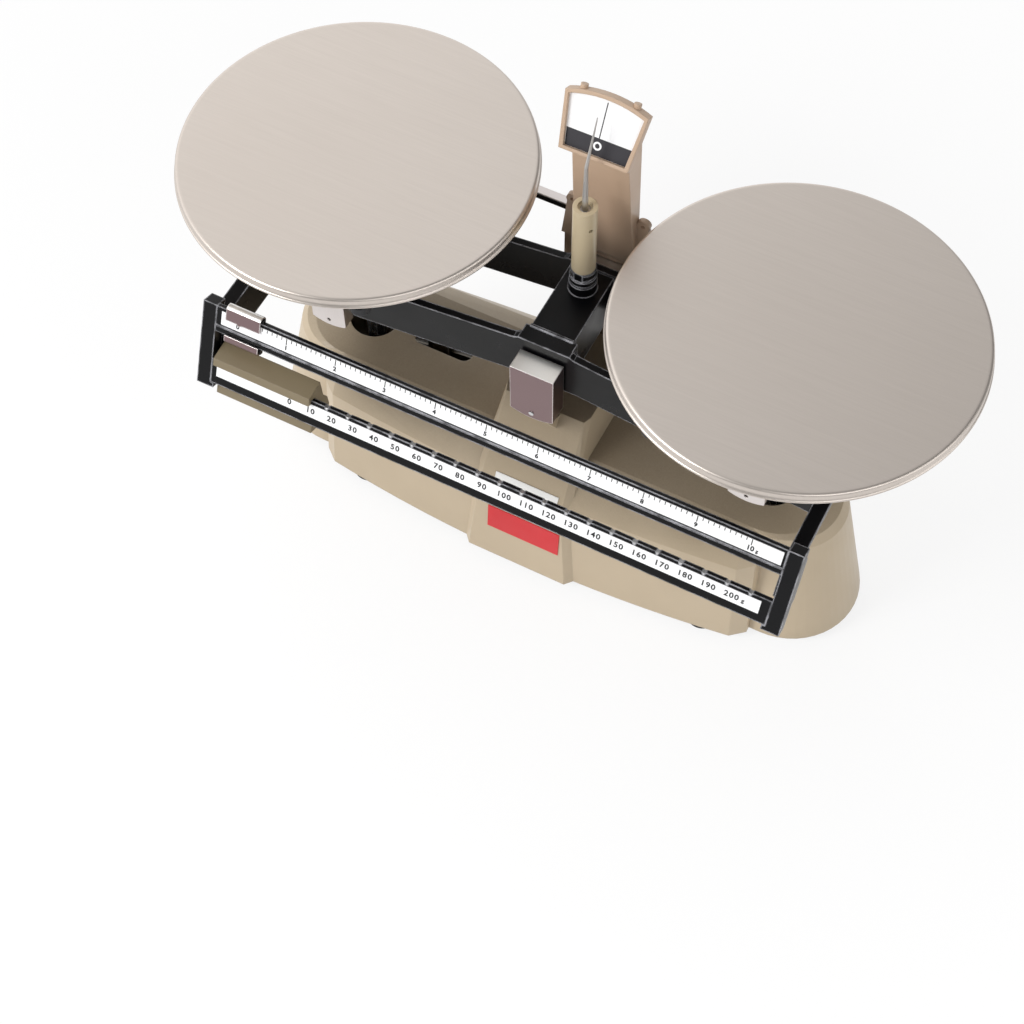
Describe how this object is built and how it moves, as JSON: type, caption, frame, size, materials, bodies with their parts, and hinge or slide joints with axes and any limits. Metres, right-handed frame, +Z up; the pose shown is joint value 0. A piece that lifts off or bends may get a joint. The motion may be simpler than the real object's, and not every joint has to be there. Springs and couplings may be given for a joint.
{
  "type": "balance scale",
  "caption": "Two-pan trip balance on a tan cast base, with a black knife-edge beam, two front poise bars, steel pans and a hooded pointer dial.",
  "frame": {"origin": "centre of the box's underside, on the table under the feet, in metres", "axes": "+X along the beam to the right, +Y to the back, +Z up"},
  "size_m": [0.3522, 0.1628, 0.2408],
  "materials": {
    "tan_paint": "satin",
    "head_paint": "satin",
    "black_paint": "satin",
    "dark_iron": "matte",
    "plate_steel": "brushed",
    "pan_steel": "satin",
    "hard_steel": "ground",
    "cover_steel": "satin",
    "needle_metal": "satin",
    "strip_white": "gloss",
    "white_plastic": "matte",
    "red_plastic": "gloss",
    "black_plastic": "matte",
    "sleeve_brass": "satin",
    "black_rubber": "matte",
    "weight_metal": "painted"
  },
  "bodies": {
    "base": {"base_casting": "tan_paint", "bottom_plate": "plate_steel", "feet": "black_rubber", "foot_screws": "hard_steel", "model_plate": "white_plastic", "red_plate": "red_plastic", "centre_bearings": "hard_steel", "front_bearing_cover": "cover_steel", "rear_bearing_cover": "cover_steel", "cover_screws": "hard_steel", "indicator_column": "head_paint", "dial_plate": "strip_white", "dial_screws": "head_paint", "column_screws": "hard_steel", "rod_bracket": "plate_steel", "rod_pivot": "hard_steel"},
    "rod": {"check_rod": "plate_steel"},
    "beam": {"beam_casting": "black_paint", "centre_knife": "hard_steel", "end_knives": "hard_steel", "left_arm": "black_paint", "right_arm": "black_paint", "left_post": "black_paint", "right_post": "black_paint", "rear_posts": "black_paint", "upper_bar": "black_paint", "upper_scale": "strip_white", "lower_bar": "black_paint", "lower_scale": "strip_white", "rear_bar": "black_paint", "rear_scale": "cover_steel", "frame_screws": "plate_steel", "counterweight": "dark_iron", "pointer": "needle_metal"},
    "sleeve": {"zero_sleeve": "sleeve_brass"},
    "fine_poise": {"small_poise": "cover_steel", "small_poise_core": "black_plastic"},
    "coarse_poise": {"large_poise": "weight_metal", "large_poise_tongue": "hard_steel"},
    "left_support": {"left_yoke": "black_paint", "left_bearings": "hard_steel", "left_covers": "cover_steel", "left_stem": "hard_steel", "left_link_pin": "hard_steel", "left_spider": "dark_iron", "left_buttons": "black_rubber"},
    "right_support": {"right_yoke": "black_paint", "right_bearings": "hard_steel", "right_covers": "cover_steel", "right_stem": "hard_steel", "right_link_pin": "hard_steel", "right_spider": "dark_iron", "right_buttons": "black_rubber"},
    "left_dish": {"left_pan": "pan_steel"},
    "right_dish": {"right_pan": "pan_steel"}
  },
  "joints": [
    {"name": "beam_swing", "type": "hinge", "parent": "base", "child": "beam", "pos_m": [0, 0.00483, 0.124], "axis": [0, 1, 0], "range_deg": [-3.5, 3.5]},
    {"name": "rod_swing", "type": "hinge", "parent": "base", "child": "rod", "pos_m": [0, 0.00483, 0.032], "axis": [0, 1, 0], "range_deg": [-3.5, 3.5]},
    {"name": "left_support_swing", "type": "hinge", "parent": "beam", "child": "left_support", "pos_m": [-0.0995, 0.00483, 0.124], "axis": [0, 1, 0], "range_deg": [-3.5, 3.5]},
    {"name": "right_support_swing", "type": "hinge", "parent": "beam", "child": "right_support", "pos_m": [0.0995, 0.00483, 0.124], "axis": [0, 1, 0], "range_deg": [-3.5, 3.5]},
    {"name": "left_pan_lift", "type": "slide", "parent": "left_support", "child": "left_dish", "axis": [0, 0, 1], "range_m": [0, 0.04]},
    {"name": "right_pan_lift", "type": "slide", "parent": "right_support", "child": "right_dish", "axis": [0, 0, 1], "range_m": [0, 0.04]},
    {"name": "fine_poise_slide", "type": "slide", "parent": "beam", "child": "fine_poise", "axis": [1, 0, 0], "range_m": [0, 0.2349]},
    {"name": "coarse_poise_slide", "type": "slide", "parent": "beam", "child": "coarse_poise", "axis": [1, 0, 0], "range_m": [0, 0.2052]},
    {"name": "zero_adjust", "type": "hinge", "parent": "beam", "child": "sleeve", "pos_m": [0, 0.01663, 0.17], "axis": [0, 0, 1], "range_deg": [-180, 180]}
  ],
  "couplings": [
    {"joint": "rod_swing", "follows": "beam_swing", "ratio": 1},
    {"joint": "left_support_swing", "follows": "beam_swing", "ratio": -1},
    {"joint": "right_support_swing", "follows": "beam_swing", "ratio": -1}
  ]
}
